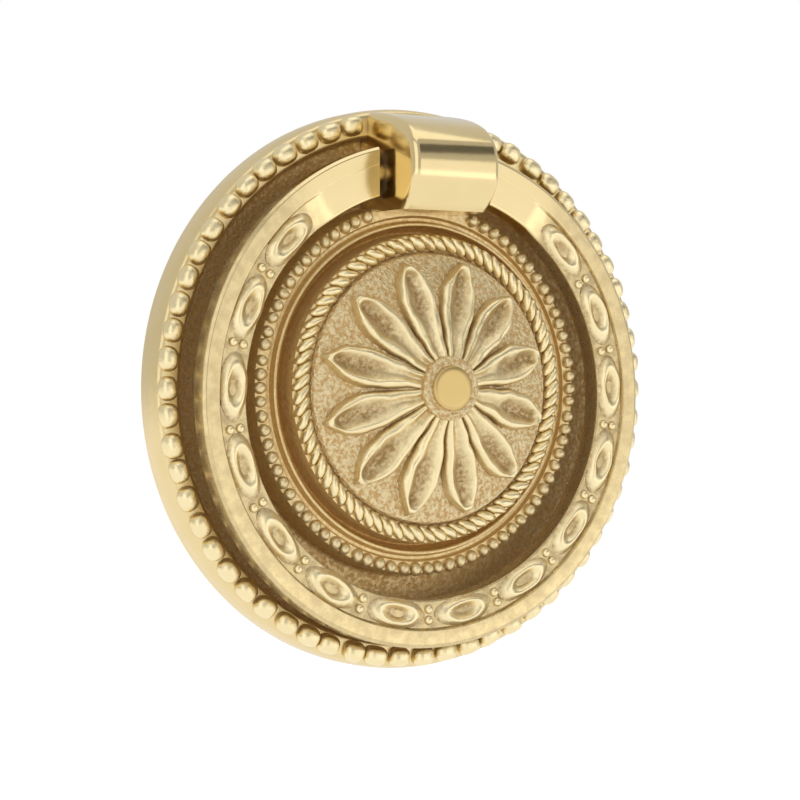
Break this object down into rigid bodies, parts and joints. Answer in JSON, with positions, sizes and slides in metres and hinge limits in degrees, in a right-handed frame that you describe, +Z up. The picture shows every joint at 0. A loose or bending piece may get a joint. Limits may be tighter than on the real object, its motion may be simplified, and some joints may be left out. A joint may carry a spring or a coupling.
{
  "type": "ring pull handle",
  "caption": "Cast brass ring pull: a round backplate with beaded rim and flower rosette, and a hinged ring with a frieze of ovals that lifts to open a drawer.",
  "frame": {"origin": "centre of the backplate's back face, on the fixing stud's axis", "axes": "+Z up, +Y into the drawer front along the stud, -Y out towards the hand"},
  "size_m": [0.057, 0.0377, 0.057],
  "materials": {
    "cast_brass": "cast, polished on its high places, brown in its recesses",
    "drawn_brass": "drawn rod, bright"
  },
  "bodies": {
    "plate": {"backplate": "cast_brass", "hinge_pin": "drawn_brass", "fixing_stud": "drawn_brass"},
    "bail": {"ring": "cast_brass"}
  },
  "joints": [
    {"name": "ring_hinge", "type": "hinge", "parent": "plate", "child": "bail", "pos_m": [0, -0.0059, 0.02148], "axis": [-1, 0, 0], "range_deg": [0, 170]}
  ]
}
